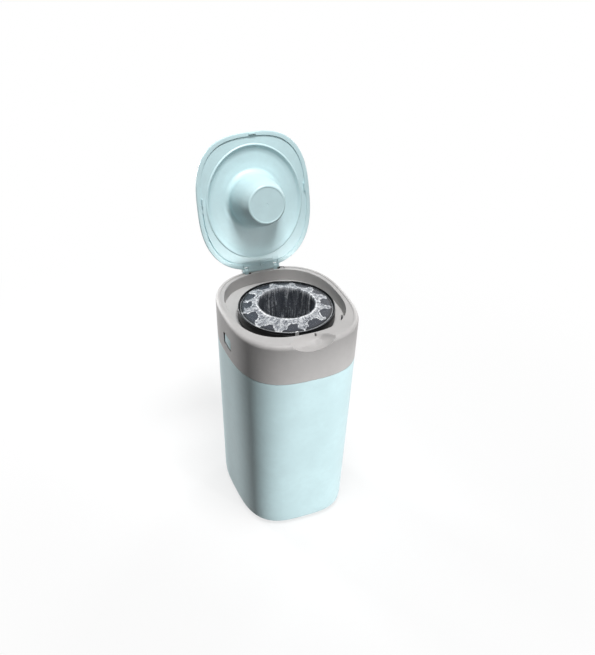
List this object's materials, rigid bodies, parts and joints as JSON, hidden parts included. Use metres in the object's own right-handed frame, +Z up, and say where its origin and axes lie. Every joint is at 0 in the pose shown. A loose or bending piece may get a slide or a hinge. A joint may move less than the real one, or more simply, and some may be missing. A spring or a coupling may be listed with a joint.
{
  "type": "nappy bin",
  "caption": "Twist-type nappy bin with tapered aqua tub, lift-off grey head, turning black film cassette and an open hinged lid whose underside carries a round plunger.",
  "frame": {"origin": "centre of the tub's flat underside, on the floor", "axes": "+Z up, -Y towards the finger recess at the front, +Y towards the lid hinge, +X to the right seen from the front"},
  "size_m": [0.2394, 0.3362, 0.6855],
  "materials": {
    "aqua_shell": "satin moulded polypropylene, pale aqua",
    "warm_grey_shell": "fine matt moulded polypropylene, light warm grey",
    "dark_grey_moulding": "low-friction moulding, dark grey",
    "gloss_black": "polished black moulding",
    "slate_grey": "semi-gloss dark blue-grey moulding",
    "clear_film": "thin translucent polyethylene film, crumpled",
    "steel": "plain bright steel"
  },
  "bodies": {
    "tub": {"tub": "aqua_shell"},
    "left_catch": {"catch_left": "aqua_shell"},
    "right_catch": {"catch_right": "aqua_shell"},
    "head": {"collar": "warm_grey_shell", "deck": "warm_grey_shell", "deck_screw_1": "steel", "deck_screw_2": "steel", "deck_screw_3": "steel", "deck_screw_4": "steel", "grip_crown": "warm_grey_shell", "crown_screw_1": "steel", "crown_screw_2": "steel", "crown_screw_3": "steel", "crown_screw_4": "steel", "pawl_screw": "steel", "cutter_guard": "dark_grey_moulding", "cutter_blade": "steel", "hinge_pin_left": "steel", "hinge_pin_right": "steel"},
    "pawl": {"click_pawl": "dark_grey_moulding"},
    "turntable": {"turntable": "dark_grey_moulding", "ratchet_ring": "dark_grey_moulding", "ratchet_screw_1": "steel", "ratchet_screw_2": "steel", "ratchet_screw_3": "steel"},
    "cassette": {"cassette_case": "gloss_black", "cassette_cap": "slate_grey", "film_pack": "clear_film", "film_sleeve": "clear_film", "film_tail": "clear_film"},
    "lid": {"lid_cover": "aqua_shell", "lid_liner": "aqua_shell"}
  },
  "joints": [
    {"name": "head_lift", "type": "slide", "parent": "tub", "child": "head", "axis": [0, 0, 1], "range_m": [0, 0.15]},
    {"name": "lid_hinge", "type": "hinge", "parent": "head", "child": "lid", "pos_m": [0, 0.1278, 0.4396], "axis": [-1, 0, 0], "range_deg": [-106, 0]},
    {"name": "cassette_twist", "type": "hinge", "parent": "head", "child": "turntable", "pos_m": [0, -0.005, 0.395], "axis": [0, 0, 1], "continuous": true},
    {"name": "cassette_lift", "type": "slide", "parent": "turntable", "child": "cassette", "axis": [0, 0, 1], "range_m": [0, 0.165]},
    {"name": "left_catch_press", "type": "hinge", "parent": "tub", "child": "left_catch", "pos_m": [-0.1119, -0.012, 0.363], "axis": [0, 1, 0], "range_deg": [0, 5.5], "stiffness_Nm_per_rad": 4},
    {"name": "right_catch_press", "type": "hinge", "parent": "tub", "child": "right_catch", "pos_m": [0.1119, -0.012, 0.363], "axis": [0, -1, 0], "range_deg": [0, 5.5], "stiffness_Nm_per_rad": 4},
    {"name": "pawl_click", "type": "hinge", "parent": "head", "child": "pawl", "pos_m": [-0.0172, 0.09254, 0.378], "axis": [0, 0, 1], "range_deg": [0, 7], "stiffness_Nm_per_rad": 0.05}
  ]
}
